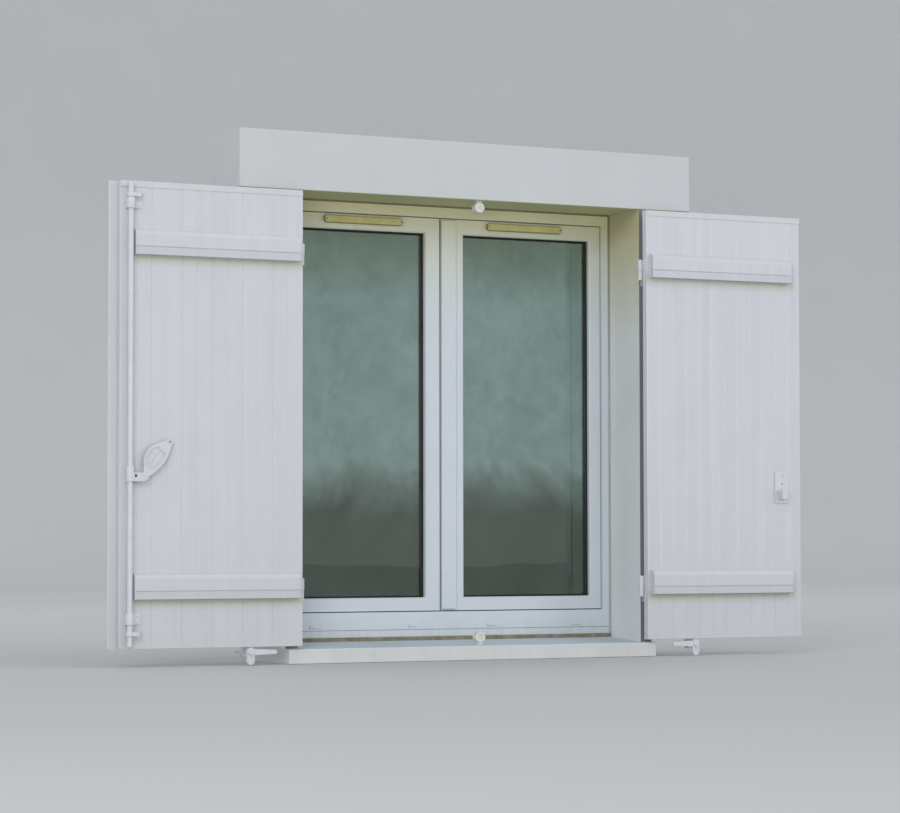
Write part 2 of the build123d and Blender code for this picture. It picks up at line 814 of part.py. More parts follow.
def sash_butts():
    """The window hinges' upper barrels, on the sash."""
    centre = butt_centre()
    back_y = surround_depth + sash_inside_projection
    halves = []
    for z in butt_heights():
        low, high = z + butt_gap / 2, z + butt_height
        body = post(butt_radius, (low, high), centre)
        body += block((centre[0] - butt_leaf_width, centre[0]), (back_y, centre[1]), (low, high))
        body -= post(butt_pin_radius + pin_clearance, (low, high - butt_top_wall), centre)
        halves += body.solids()
    return Compound(children=halves)


def lever_place():
    return meeting_edge("right") + rose_from_joint, sill_front_height + lever_height


def rose():
    x, z = lever_place()
    back_y = surround_depth + sash_inside_projection
    body = block((x - rose_width / 2, x + rose_width / 2), (back_y, back_y + rose_thickness),
                 (z - rose_height / 2, z + rose_height / 2))
    body = fillet(body.edges().filter_by(Axis.Y), (rose_width - handle_end_flat) / 2)
    body = fillet(body.edges().group_by(Axis.Y)[-1], rose_edge_round)
    return body - stud(rose_hole_radius, (back_y + rose_hole_floor, back_y + rose_thickness), (x, z))


def lever():
    x, z = lever_place()
    back_y = surround_depth + sash_inside_projection
    start_y = back_y + rose_hole_floor + lever_clearance
    out_y = back_y + lever_reach
    neck = stud(rose_hole_radius - lever_clearance, (start_y, out_y + lever_thickness / 2), (x, z))
    arm = block((x - lever_width / 2, x + lever_width / 2),
                (out_y - lever_thickness / 2, out_y + lever_thickness / 2),
                (z - lever_length, z + lever_width / 2))
    arm = fillet(arm.edges().filter_by(Axis.Y), (lever_width - handle_end_flat) / 2)
    arm = fillet(arm.edges().group_by(Axis.Y)[-1], lever_edge_round)
    return neck + arm


# Surround, stops and dogs
save("sill", sill())
save("lintel", lintel())
save("sill_stop", stop(True))
save("soffit_stop", stop(False))
for side in ("left", "right"):
    save(f"{side}_jamb", on_side(side, jamb()))
    save(f"{side}_dog_stem", on_side(side, dog_stem()))
    save(f"{side}_dog_head", on_side(side, dog_head()))

# Leaves
for side in ("left", "right"):
    save(f"{side}_planks", on_side(side, planks()))
    save(f"{side}_edge_rail", on_side(side, free_edge_rail(rail_setback if side == "left" else 0)))
    save(f"{side}_top_cap", on_side(side, cap(True)))
    save(f"{side}_bottom_cap", on_side(side, cap(False)))
    for level, low in (("lower", lower_bar_z), ("upper", upper_bar_z)):
        save(f"{side}_{level}_bar", on_side(side, bar(low)))
        save(f"{side}_{level}_bar_ends", on_side(side, bar_ends(low)))
        save(f"{side}_{level}_strap", on_side(side, strap(low)))
        save(f"{side}_{level}_pintle", on_side(side, pintle(low)))
save("left_cover_strip", on_side("left", cover_strip()))

# Espagnolette bolt and keeper
save("bolt_rod", rod())
save("lower_rod_guide", guide(leaf_bottom + lower_guide_rise))
save("upper_rod_guide", guide(leaf_top - upper_guide_drop))
save("lower_hook", hook(leaf_bottom + lower_hook_rise))
save("upper_hook", hook(leaf_top - upper_hook_drop))
save("grip_clevis", clevis())
save("grip", grip())
save("grip_keeper", keeper())

# Casement window
save("window_frame", window_frame())
for side in ("left", "right"):
    save(f"{side}_sash", on_side(side, sash(side)))
    save(f"{side}_glazing", on_side(side, glazing(side)))
    save(f"{side}_glazing_spacer", on_side(side, spacer(side)))
    save(f"{side}_vent_cover", on_side(side, vent_cover()))
    save(f"{side}_frame_butts", on_side(side, frame_butts()))
    save(f"{side}_sash_butts", on_side(side, sash_butts()))
save("meeting_strip", meeting_strip())
save("handle_rose", rose())
save("handle_lever", lever())
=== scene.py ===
import math

import bmesh
import bpy
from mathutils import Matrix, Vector


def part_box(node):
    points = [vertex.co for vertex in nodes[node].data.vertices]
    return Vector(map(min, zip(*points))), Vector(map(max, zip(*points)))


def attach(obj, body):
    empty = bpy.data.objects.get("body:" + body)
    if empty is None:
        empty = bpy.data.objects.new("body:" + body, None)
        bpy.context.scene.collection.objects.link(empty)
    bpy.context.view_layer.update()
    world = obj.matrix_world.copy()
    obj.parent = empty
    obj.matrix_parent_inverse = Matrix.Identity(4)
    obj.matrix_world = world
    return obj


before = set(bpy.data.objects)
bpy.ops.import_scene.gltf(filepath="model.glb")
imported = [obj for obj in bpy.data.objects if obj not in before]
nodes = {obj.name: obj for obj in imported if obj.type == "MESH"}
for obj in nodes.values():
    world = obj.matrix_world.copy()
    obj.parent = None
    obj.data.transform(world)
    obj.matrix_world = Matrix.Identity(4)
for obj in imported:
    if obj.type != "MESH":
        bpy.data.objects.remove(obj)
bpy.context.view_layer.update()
print("frame loaded,", len(nodes), "nodes")


# Small helpers for shader trees

def put(tree, kind, **settings):
    node = tree.nodes.new(kind)
    for key, value in settings.items():
        if key in node.inputs:
            node.inputs[key].default_value = value
        else:
            setattr(node, key, value)
    return node


def join(tree, source, target):
    tree.links.new(source, target)


def startMaterial(name):
    made = bpy.data.materials.new(name)
    made.use_nodes = True
    tree = made.node_tree
    tree.nodes.clear()
    shader = put(tree, "ShaderNodeBsdfPrincipled")
    output = put(tree, "ShaderNodeOutputMaterial")
    join(tree, shader.outputs["BSDF"], output.inputs["Surface"])
    place = put(tree, "ShaderNodeTexCoord").outputs["Object"]
    return made, tree, shader, place


def stretched(tree, place, scale):
    mapping = put(tree, "ShaderNodeMapping", Scale=scale)
    join(tree, place, mapping.inputs["Vector"])
    return mapping.outputs["Vector"]


def axes(tree, vector):
    split = put(tree, "ShaderNodeSeparateXYZ")
    join(tree, vector, split.inputs["Vector"])
    return split.outputs["X"], split.outputs["Y"], split.outputs["Z"]


def normals(tree):
    return axes(tree, put(tree, "ShaderNodeTexCoord").outputs["Normal"])


def noise(tree, place, scale, detail=4.0, rough=0.55, distortion=0.0):
    made = put(tree, "ShaderNodeTexNoise", Scale=scale, Detail=detail, Roughness=rough, Distortion=distortion)
    join(tree, place, made.inputs["Vector"])
    return made.outputs["Fac"]


def spread(tree, value, low, high, outLow=0.0, outHigh=1.0):
    made = put(tree, "ShaderNodeMapRange")
    made.inputs["From Min"].default_value = low
    made.inputs["From Max"].default_value = high
    made.inputs["To Min"].default_value = outLow
    made.inputs["To Max"].default_value = outHigh
    join(tree, value, made.inputs["Value"])
    return made.outputs["Result"]


def sums(tree, operation, first, second=None):
    made = put(tree, "ShaderNodeMath", operation=operation)
    for index, value in enumerate((first, second)):
        if value is None:
            continue
        if isinstance(value, (int, float)):
            made.inputs[index].default_value = value
        else:
            join(tree, value, made.inputs[index])
    return made.outputs["Value"]


def times(tree, first, second):
    return sums(tree, "MULTIPLY", first, second)


def band(tree, value, low, high, fade):
    # 1 between low and high, down to 0 over the fade on both sides
    rise = spread(tree, value, low - fade, low)
    fall = spread(tree, value, high, high + fade, 1.0, 0.0)
    return times(tree, rise, fall)


def tint(tree, amount, first, second, blend="MIX"):
    made = put(tree, "ShaderNodeMix", data_type="RGBA", blend_type=blend)
    amountSocket, firstSocket, secondSocket = (made.inputs[index] for index in (0, 6, 7))
    for socket, value in ((firstSocket, first), (secondSocket, second)):
        if isinstance(value, tuple):
            socket.default_value = (*value, 1.0)
        else:
            join(tree, value, socket)
    join(tree, amount, amountSocket)
    return made.outputs[2]


def relief(tree, shader, height, strength, distance, under=None):
    made = put(tree, "ShaderNodeBump", Strength=strength, Distance=distance)
    join(tree, height, made.inputs["Height"])
    if under is not None:
        join(tree, under, made.inputs["Normal"])
    join(tree, made.outputs["Normal"], shader.inputs["Normal"])
    return made.outputs["Normal"]


# Parts of a noise's range that two tones are spread over
middle = (0.35, 0.7)
wide = (0.3, 0.7)


def finishShader(tree, shader, colour, spots, s):
    # the base colour, and a roughness that wanders between the two values of the settings
    join(tree, colour, shader.inputs["Base Color"])
    join(tree, spread(tree, spots, *wide, *s["rough"]), shader.inputs["Roughness"])
    if "specular" in s:
        shader.inputs["Specular IOR Level"].default_value = s["specular"]


def headShade(tree, colour, z, s, outside):
    # painted shade with a green-brown cast that grows towards the lintel, on the outer side only, then a band
    # under the head that lipTone lightens as painted light or darkens as painted shade
    amount = sums(tree, "POWER", spread(tree, z, s["headLow"], s["headHigh"]), s["headCurve"])
    colour = tint(tree, times(tree, amount, outside), colour, s["headShadeTone"], "MULTIPLY")
    lip = times(tree, spread(tree, z, s["lipLow"], s["headHigh"]), outside)
    return tint(tree, lip, colour, s["lipTone"], "MULTIPLY")


# Materials

leafFinish = {
    "colour": (0.594, 0.606, 0.646),
    "shade": (0.564, 0.576, 0.615),
    # the grime tone is dirt, and is also used for the painted shade beside the grooves
    "grime": (0.40, 0.41, 0.38),
    "streakStretch": (30, 30, 1.2),
    "streakNoise": (1.0, 5, 0.6),
    "patchNoise": (2.6, 4, 0.55),
    "sideFade": (0.0, 0.01),
    "hingeEdge": 0.603,
    "beadPitch": 0.0485,
    "grooveWidth": 0.0024,
    "grooveCore": 0.6,
    # painted light: the tone and amounts below pale the grooves, more on the right leaf's lower boards
    "groovePaintedLight": (0.86, 0.87, 0.92),
    "grooveLight": 0.28,
    "rightLight": (0.22, 0.42),
    "rightLightRise": (0.20, 0.34),
    # painted shade: a soft darker band beside each groove, on the left leaf only
    "softEdge": 0.0052,
    "softShade": 0.040,
    "barFeet": (0.200, 1.217),
    "boardFace": (-0.032, -0.038),
    # painted shade with a green cast just under each bar, on the boards' face
    "dampTone": (0.87, 0.88, 0.70),
    "dampReach": (0.0096, 0.024),
    # painted shade on the bars' lower lip
    "barFace": (-0.048, -0.052),
    "barFade": 0.002,
    "barLip": 0.023,
    "barLipShade": (0.925, 0.945, 0.960),
    "splashRise": (0.055, 0.455, 0.22, 0.0),
    "splashSpots": (0.35, 0.65, 0.6, 1.0),
    "filmNoise": (7.5, 6, 0.65),
    "filmSpots": (0.50, 0.80, 0.0, 0.10),
    "rough": (0.38, 0.52),
    "specular": 0.40,
    "waveStretch": (9, 9, 2.2),
    "waveNoise": (1.0, 2, 0.4),
    "waveRelief": (0.22, 0.004),
    "grainNoise": (420, 3, 0.5),
    "grainRelief": (0.10, 0.0004),
}


def boardTones(tree, colour, x, y, z, s):
    # the grooves between the boards, with painted shade beside them on the left leaf and painted light in
    # them, and painted shade just under each bar
    across = sums(tree, "SUBTRACT", sums(tree, "ABSOLUTE", x), s["hingeEdge"])
    across = sums(tree, "DIVIDE", across, s["beadPitch"])
    nearest = sums(tree, "ABSOLUTE", sums(tree, "SUBTRACT", across, sums(tree, "ROUND", across)))
    width = s["grooveWidth"] / s["beadPitch"]
    onRight = spread(tree, x, *s["sideFade"])
    onLeft = sums(tree, "SUBTRACT", 1.0, onRight)
    # painted shade beside each groove on the left leaf, in the grime tone
    soft = spread(tree, nearest, width, s["softEdge"] / s["beadPitch"], s["softShade"], 0.0)
    colour = tint(tree, times(tree, soft, onLeft), colour, s["grime"])
    # painted light: the grooves themselves made paler than the boards
    groove = spread(tree, nearest, width * s["grooveCore"], width, 1.0, 0.0)
    rightLight = spread(tree, z, *s["rightLightRise"], *s["rightLight"])
    light = sums(tree, "ADD", times(tree, onRight, rightLight), times(tree, onLeft, s["grooveLight"]))
    colour = tint(tree, times(tree, groove, light), colour, s["groovePaintedLight"])
    # painted shade with a green cast just under each bar's foot
    inside = spread(tree, y, *s["boardFace"])
    full, fade = s["dampReach"]
    for foot in s["barFeet"]:
        damp = times(tree, band(tree, z, foot - full, foot, fade), inside)
        colour = tint(tree, damp, colour, s["dampTone"], "MULTIPLY")
    return colour


def barTones(tree, colour, y, z, s):
    # painted shade: the bars' lower lip, below their groove, is a little greyer than the lit face above
    out = spread(tree, y, *s["barFace"])
    for foot in s["barFeet"]:
        lip = band(tree, z, foot - s["barFade"], foot + s["barLip"], s["barFade"])
        colour = tint(tree, times(tree, out, lip), colour, s["barLipShade"], "MULTIPLY")
    return colour


def makeLeafMaterial(name, boards):
    made, tree, shader, place = startMaterial(name)
    s = leafFinish
    x, y, z = axes(tree, place)
    streaks = noise(tree, stretched(tree, place, s["streakStretch"]), *s["streakNoise"])
    patches = noise(tree, place, *s["patchNoise"])
    colour = tint(tree, spread(tree, streaks, *middle), s["colour"], s["shade"])
    colour = boardTones(tree, colour, x, y, z, s) if boards else barTones(tree, colour, y, z, s)
    splash = times(tree, spread(tree, z, *s["splashRise"]), spread(tree, patches, *s["splashSpots"]))
    film = spread(tree, noise(tree, place, *s["filmNoise"]), *s["filmSpots"])
    colour = tint(tree, sums(tree, "MAXIMUM", film, splash), colour, s["grime"])
    finishShader(tree, shader, colour, patches, s)
    wave = noise(tree, stretched(tree, place, s["waveStretch"]), *s["waveNoise"])
    under = relief(tree, shader, wave, *s["waveRelief"])
    relief(tree, shader, noise(tree, place, *s["grainNoise"]), *s["grainRelief"], under)
    return made


masonryTexture = {
    "patchNoise": (3.2, 6, 0.6, 0.3),
    "patchSpots": (0.34, 0.68),
    "mottleNoise": (26, 5, 0.6),
    "mottleSpots": (0.52, 0.80, 0.0, 0.35),
    "runStretch": (24, 24, 1.1),
    "runNoise": (1.0, 5, 0.62),
    "runSpots": (0.52, 0.80),
    "pitScale": 95.0,
    "pitReach": (0.03, 0.12, 1.0, 0.0),
    "pitNoise": (14, 2),
    "pitSpots": (0.52, 0.66),
    "pitStain": 0.30,
    "pitDepth": 0.9,
    "grainDetail": (6, 0.62),
    "lumpNoise": (46, 3, 0.5),
    "lumpHeight": 0.8,
    "relief": 0.70,
    "rough": (0.74, 0.92),
    "specular": 0.25,
}
lintelFinish = {
    "colour": (0.556, 0.576, 0.594),
    "shade": (0.532, 0.551, 0.567),
    "stain": (0.40, 0.40, 0.36),
    "runs": 0.06,
    "grain": 240,
    "grainDepth": 0.0009,
    # painted shade with a green cast on the soffit, the faces under the lintel
    "under": (0.54, 0.55, 0.30),
    "underReach": (1.4425, 1.4445, 1.0, 0.0),
}
revealFinish = {
    # painted light: the reveal has the lintel's paint, made lighter to make up for the light its side faces
    # get
    "colour": (0.705, 0.750, 0.765),
    "shade": (0.655, 0.697, 0.710),
    "stain": (0.38, 0.38, 0.32),
    "runs": 0.12,
    "grain": 240,
    "grainDepth": 0.0009,
    # painted shade with a green-brown cast towards the lintel, and a slightly darker band at the head
    "headShadeTone": (0.79, 0.70, 0.43),
    "headLow": 1.00,
    "headHigh": 1.38,
    "headCurve": 1.2,
    "lipTone": (0.96, 0.95, 0.94),
    "lipLow": 1.34,
    "innerFace": (0.602, 0.606, 1.0, 0.0),
    # the jambs' front face is bare wall render, made dark as painted shade behind the leaves
    "bareFaceShade": (0.195, 0.205, 0.215),
    "facesOut": (-0.5, -0.9),
    "wallFace": (0.004, 0.001),
}
sillFinish = {
    "colour": (0.630, 0.640, 0.640),
    "shade": (0.560, 0.570, 0.570),
    "stain": (0.30, 0.29, 0.23),
    "runs": 0.16,
    "grain": 340,
    "grainDepth": 0.0006,
    # painted light: faces turned upwards tinted bluer, as by sky light
    "paintedTopTone": (0.860, 0.970, 1.085),
    "facesUp": (0.5, 0.9),
    # painted shade: a dark mottled band on the upstand, in the gap under the window's foot
    "upstandShade": (0.17, 0.16, 0.10),
    "upstandFace": (0.1894, 0.1906, 0.0012),
    "upstandRise": (0.0560, 0.0690, 0.0015),
    "upstandSpots": (0.3, 0.6, 0.75, 1.0),
}


def makeMasonry(name, s):
    made, tree, shader, place = startMaterial(name)
    t = masonryTexture
    x, y, z = axes(tree, place)
    normalY, normalZ = normals(tree)[1:]
    patches = noise(tree, place, *t["patchNoise"])
    mottle = noise(tree, place, *t["mottleNoise"])
    colour = tint(tree, spread(tree, patches, *t["patchSpots"]), s["colour"], s["shade"])
    colour = tint(tree, spread(tree, mottle, *t["mottleSpots"]), colour, s["shade"])
    runs = noise(tree, stretched(tree, place, t["runStretch"]), *t["runNoise"])
    stain = times(tree, spread(tree, runs, *t["runSpots"]), s["runs"])
    specks = put(tree, "ShaderNodeTexVoronoi", Scale=t["pitScale"])
    join(tree, place, specks.inputs["Vector"])
    pits = times(tree, spread(tree, specks.outputs["Distance"], *t["pitReach"]),
                 spread(tree, noise(tree, place, *t["pitNoise"]), *t["pitSpots"]))
    stain = sums(tree, "MAXIMUM", stain, times(tree, pits, t["pitStain"]))
    colour = tint(tree, stain, colour, s["stain"])
    # painted shade with a green cast on the lintel's soffit
    if "under" in s:
        colour = tint(tree, spread(tree, z, *s["underReach"]), colour, s["under"])
    # painted light: the sill's upward faces tinted bluer, as by sky light
    if "paintedTopTone" in s:
        colour = tint(tree, spread(tree, normalZ, *s["facesUp"]), colour, s["paintedTopTone"], "MULTIPLY")
        # painted shade on the upstand under the window's foot
        damp = times(tree, band(tree, y, *s["upstandFace"]), band(tree, z, *s["upstandRise"]))
        damp = times(tree, damp, spread(tree, mottle, *s["upstandSpots"]))
        colour = tint(tree, damp, colour, s["upstandShade"])
    if "headShadeTone" in s:
        inner = spread(tree, sums(tree, "ABSOLUTE", x), *s["innerFace"])
        colour = headShade(tree, colour, z, s, inner)
    # the bare wall face on the jambs' front, darkened as painted shade
    if "bareFaceShade" in s:
        front = times(tree, spread(tree, normalY, *s["facesOut"]), spread(tree, y, *s["wallFace"]))
        colour = tint(tree, front, colour, s["bareFaceShade"])
    finishShader(tree, shader, colour, mottle, t)
    grain = noise(tree, place, s["grain"], *t["grainDetail"])
    lumps = noise(tree, place, *t["lumpNoise"])
    height = sums(tree, "ADD", grain, times(tree, lumps, t["lumpHeight"]))
    height = sums(tree, "SUBTRACT", height, times(tree, pits, t["pitDepth"]))
    relief(tree, shader, height, t["relief"], s["grainDepth"])
    return made


windowFinish = {
    "colour": (0.600, 0.648, 0.700),
    "shade": (0.565, 0.610, 0.655),
    "grime": (0.30, 0.31, 0.25),
    # painted shade with a green-brown cast towards the lintel, then painted light that lifts the band under
    # the head
    "headShadeTone": (0.98, 0.92, 0.60),
    "headLow": 1.06,
    "headHigh": 1.43,
    "headCurve": 1.4,
    "lipTone": (1.19, 1.13, 0.98),
    "lipLow": 1.34,
    "outerSide": (0.222, 0.234, 1.0, 0.0),
    "patchNoise": (5.5, 5, 0.6),
    "patchSpots": (0.35, 0.68),
    "runStretch": (60, 60, 2.5),
    "runNoise": (1.0, 4, 0.6),
    "dustRise": (0.070, 0.135, 0.26, 0.0),
    "dustSpots": (0.35, 0.7, 0.3, 1.0),
    "filmSpots": (0.62, 0.85, 0.0, 0.08),
    "rough": (0.26, 0.40),
    "waveStretch": (14, 14, 4),
    "waveNoise": (1.0, 2, 0.4),
    "waveRelief": (0.18, 0.002),
}


def makeWindowPlastic():
    made, tree, shader, place = startMaterial("windowPlastic")
    s = windowFinish
    y, z = axes(tree, place)[1:]
    patches = noise(tree, place, *s["patchNoise"])
    runs = noise(tree, stretched(tree, place, s["runStretch"]), *s["runNoise"])
    colour = tint(tree, spread(tree, patches, *s["patchSpots"]), s["colour"], s["shade"])
    # painted shade and painted light at the head, on the outer side only
    colour = headShade(tree, colour, z, s, spread(tree, y, *s["outerSide"]))
    dust = times(tree, spread(tree, z, *s["dustRise"]), spread(tree, runs, *s["dustSpots"]))
    dust = sums(tree, "MAXIMUM", dust, spread(tree, runs, *s["filmSpots"]))
    finishShader(tree, shader, tint(tree, dust, colour, s["grime"]), patches, s)
    wave = noise(tree, stretched(tree, place, s["waveStretch"]), *s["waveNoise"])
    relief(tree, shader, wave, *s["waveRelief"])
    return made


enamelTexture = {
    "patchNoise": (30, 5, 0.6),
    "chipDetail": (6, 0.68),
    "chipSpots": (0.67, 0.73),
    "grainNoise": (260, 3, 0.5),
    "relief": (0.16, 0.0006),
    "coatRough": 0.2,
}
hardwareFinish = {
    "colour": (0.612, 0.636, 0.674), "shade": (0.565, 0.590, 0.625), "primer": (0.32, 0.33, 0.33),
    "chips": 0.3, "chipScale": 110, "rough": (0.26, 0.40), "coat": 0.2,
}
ventFinish = {
    "colour": (0.530, 0.500, 0.195), "shade": (0.450, 0.420, 0.155), "primer": (0.20, 0.18, 0.08),
    "chips": 0.25, "chipScale": 60, "rough": (0.42, 0.58), "coat": 0.0,
    # painted shade: a dark brown outline on the cover's side faces and along its upper and lower borders
    "rim": (0.20, 0.17, 0.06), "rimTurn": (0.55, 0.93, 0.85, 0.0),
    "rimMiddle": 1.383, "rimReach": (0.0088, 0.0102, 0.0, 0.75),
}
handleFinish = {
    "colour": (0.640, 0.650, 0.660), "shade": (0.58, 0.59, 0.60), "primer": (0.35, 0.35, 0.35),
    "chips": 0.2, "chipScale": 85, "rough": (0.28, 0.40), "coat": 0.2,
}
stopFinish = {
    "colour": (0.700, 0.700, 0.670), "shade": (0.600, 0.600, 0.565), "primer": (0.26, 0.25, 0.22),
    "chips": 0.4, "chipScale": 95, "rough": (0.45, 0.62), "coat": 0.0,
}
screwFinish = {
    "colour": (0.20, 0.20, 0.19), "shade": (0.12, 0.12, 0.11), "primer": (0.10, 0.08, 0.06),
    "chips": 0.6, "chipScale": 240, "rough": (0.34, 0.52), "coat": 0.0,
}


def makeEnamel(name, s):
    made, tree, shader, place = startMaterial(name)
    t = enamelTexture
    patches = noise(tree, place, *t["patchNoise"])
    chips = spread(tree, noise(tree, place, s["chipScale"], *t["chipDetail"]), *t["chipSpots"])
    chips = times(tree, chips, s["chips"])
    colour = tint(tree, spread(tree, patches, *middle), s["colour"], s["shade"])
    # painted shade on the cover's side faces and its upper and lower borders
    if "rim" in s:
        edge = spread(tree, sums(tree, "ABSOLUTE", normals(tree)[1]), *s["rimTurn"])
        off = sums(tree, "ABSOLUTE", sums(tree, "SUBTRACT", axes(tree, place)[2], s["rimMiddle"]))
        line = spread(tree, off, *s["rimReach"])
        colour = tint(tree, sums(tree, "MAXIMUM", edge, line), colour, s["rim"])
    finishShader(tree, shader, tint(tree, chips, colour, s["primer"]), patches, s)
    grain = noise(tree, place, *t["grainNoise"])
    relief(tree, shader, sums(tree, "SUBTRACT", grain, chips), *t["relief"])
    shader.inputs["Coat Weight"].default_value = s["coat"]
    shader.inputs["Coat Roughness"].default_value = t["coatRough"]
    return made


steelTexture = {
    "patchNoise": (160, 5, 0.6),
    "brushStretch": (900, 900, 60),
    "brushNoise": (1.0, 3, 0.5),
    "metallic": 0.9,
}
zincFinish = {"colour": (0.56, 0.57, 0.57), "shade": (0.34, 0.34, 0.33), "rough": (0.272, 0.425)}
alloyFinish = {"colour": (0.62, 0.63, 0.64), "shade": (0.48, 0.49, 0.50), "rough": (0.24, 0.375)}


def makeSteel(name, s):
    made, tree, shader, place = startMaterial(name)
    t = steelTexture
    patches = noise(tree, place, *t["patchNoise"])
    brushed = noise(tree, stretched(tree, place, t["brushStretch"]), *t["brushNoise"])
    colour = tint(tree, spread(tree, patches, *middle), s["colour"], s["shade"])
    finishShader(tree, shader, colour, brushed, s)
    shader.inputs["Metallic"].default_value = t["metallic"]
    return made


rubberTexture = {
    "patchNoise": (90, 4, 0.6),
    "grainNoise": (700, 3, 0.5),
    "relief": (0.2, 0.0004),
    "rough": (0.55, 0.75),
    "specular": 0.25,
}
sealFinish = {"colour": (0.012, 0.013, 0.013), "shade": (0.022, 0.023, 0.022)}
gasketFinish = {"colour": (0.235, 0.235, 0.185), "shade": (0.190, 0.190, 0.145)}
sealantFinish = {
    # painted shade: the bead is dark grey, darker and greener towards the head, standing for the shade of the
    # corner it fills
    "colour": (0.36, 0.38, 0.35), "shade": (0.30, 0.32, 0.29),
    "headShadeTone": (0.66, 0.58, 0.40), "headLow": 0.90, "headHigh": 1.43, "headCurve": 0.8,
    "lipTone": (0.95, 0.95, 0.95), "lipLow": 1.34,
}


def makeRubber(name, s):
    made, tree, shader, place = startMaterial(name)
    t = rubberTexture
    patches = noise(tree, place, *t["patchNoise"])
    colour = tint(tree, spread(tree, patches, *middle), s["colour"], s["shade"])
    if "headShadeTone" in s:
        colour = headShade(tree, colour, axes(tree, place)[2], s, 1.0)
    finishShader(tree, shader, colour, patches, t)
    relief(tree, shader, noise(tree, place, *t["grainNoise"]), *t["relief"])
    return made


glassFinish = {
    # painted reflection: the tint, with lighter cloudy spots and a dark lower part, stands for the
    # surroundings seen in the glass; the darker top is painted shade
    "high": (0.530, 0.640, 0.605),
    "highLight": (0.625, 0.735, 0.705),
    "low": (0.300, 0.345, 0.305),
    "lowLight": (0.350, 0.400, 0.350),
    "fade": (0.46, 0.62),
    "wander": (0.3, 0.7, -0.03, 0.03),
    "topFade": (1.14, 1.36),
    "paintedTopTone": (0.70, 0.71, 0.60),
    "cloudNoise": (4.2, 6, 0.66, 0.8),
    "cloudShare": 0.55,
    "fineStretch": (17, 17, 12),
    "fineNoise": (1.0, 6, 0.7, 1.2),
    "fineShare": 0.45,
    "lightSpots": (0.38, 0.62),
    "smearNoise": (22, 5, 0.7),
    "smearRough": (0.45, 0.85, 0.004, 0.04),
    "rippleNoise": (3.4, 2, 0.4),
    "rippleRelief": (0.30, 0.0010),
    "refraction": 1.5,
}


def makeGlass():
    made, tree, shader, place = startMaterial("paneGlass")
    s = glassFinish
    z = axes(tree, place)[2]
    # painted reflection in cloudy spots and a dark lower part, and painted shade at the top
    cloud = noise(tree, place, *s["cloudNoise"])
    fine = noise(tree, stretched(tree, place, s["fineStretch"]), *s["fineNoise"])
    both = sums(tree, "ADD", times(tree, cloud, s["cloudShare"]), times(tree, fine, s["fineShare"]))
    mixed = spread(tree, both, *s["lightSpots"])
    upper = tint(tree, mixed, s["high"], s["highLight"])
    lower = tint(tree, mixed, s["low"], s["lowLight"])
    edge = sums(tree, "ADD", z, spread(tree, cloud, *s["wander"]))
    colour = tint(tree, spread(tree, edge, *s["fade"]), lower, upper)
    colour = tint(tree, spread(tree, z, *s["topFade"]), colour, s["paintedTopTone"], "MULTIPLY")
    join(tree, colour, shader.inputs["Base Color"])
    smears = noise(tree, place, *s["smearNoise"])
    join(tree, spread(tree, smears, *s["smearRough"]), shader.inputs["Roughness"])
    relief(tree, shader, noise(tree, place, *s["rippleNoise"]), *s["rippleRelief"])
    shader.inputs["Transmission Weight"].default_value = 1.0
    shader.inputs["IOR"].default_value = s["refraction"]
    return made


boardPlastic = makeLeafMaterial("boardPlastic", True)
leafPlastic = makeLeafMaterial("leafPlastic", False)
lintelRender = makeMasonry("lintelRender", lintelFinish)
revealRender = makeMasonry("revealRender", revealFinish)
paintedSill = makeMasonry("paintedSill", sillFinish)
windowPlastic = makeWindowPlastic()
whiteEnamel = makeEnamel("whiteEnamel", hardwareFinish)
handleEnamel = makeEnamel("handleEnamel", handleFinish)
ventPlastic = makeEnamel("ventPlastic", ventFinish)
stopPlastic = makeEnamel("stopPlastic", stopFinish)
darkSteel = makeEnamel("darkSteel", screwFinish)
screwZinc = makeSteel("screwZinc", zincFinish)
spacerAlloy = makeSteel("spacerAlloy", alloyFinish)
sealRubber = makeRubber("sealRubber", sealFinish)
sashGasket = makeRubber("sashGasket", gasketFinish)
sealant = makeRubber("sealant", sealantFinish)
paneGlass = makeGlass()
print("materials made")

nodeFinish = {
    "sill": paintedSill, "lintel": lintelRender, "left_jamb": revealRender, "right_jamb": revealRender,
    "sill_stop": stopPlastic, "soffit_stop": stopPlastic,
    "window_frame": windowPlastic, "left_sash": windowPlastic, "right_sash": windowPlastic,
    "meeting_strip": windowPlastic,
    "left_planks": boardPlastic, "right_planks": boardPlastic,
    "left_vent_cover": ventPlastic, "right_vent_cover": ventPlastic,
    "handle_lever": handleEnamel, "handle_rose": handleEnamel,
    "left_glazing": paneGlass, "right_glazing": paneGlass,
    "left_glazing_spacer": spacerAlloy, "right_glazing_spacer": spacerAlloy,
}
leafEndings = ("edge_rail", "_cap", "_bar", "bar_ends", "cover_strip")
for name, obj in nodes.items():
    if name in nodeFinish:
        finish = nodeFinish[name]
    elif name.endswith(leafEndings):
        finish = leafPlastic
    else:
        finish = handleEnamel if name.endswith("butts") else whiteEnamel
    for spot in obj.material_slots:
        spot.material = finish


# Pieces

def addObject(name, data):
    obj = bpy.data.objects.new(name, data)
    bpy.context.scene.collection.objects.link(obj)
    return obj


def meshPiece(name, vertices, faces, finish, body):
    data = bpy.data.meshes.new(name)
    data.from_pydata(vertices, [], faces)
    shell = bmesh.new()
    shell.from_mesh(data)
    bmesh.ops.recalc_face_normals(shell, faces=shell.faces)
    shell.to_mesh(data)
    shell.free()
    data.materials.append(finish)
    obj = addObject(name, data)
    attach(obj, body)


# Screw heads by Geometry Nodes: a dome with a cross cut in it on every point of a mesh

headShape = {"segments": 12, "rings": 6, "slotReach": 1.15}


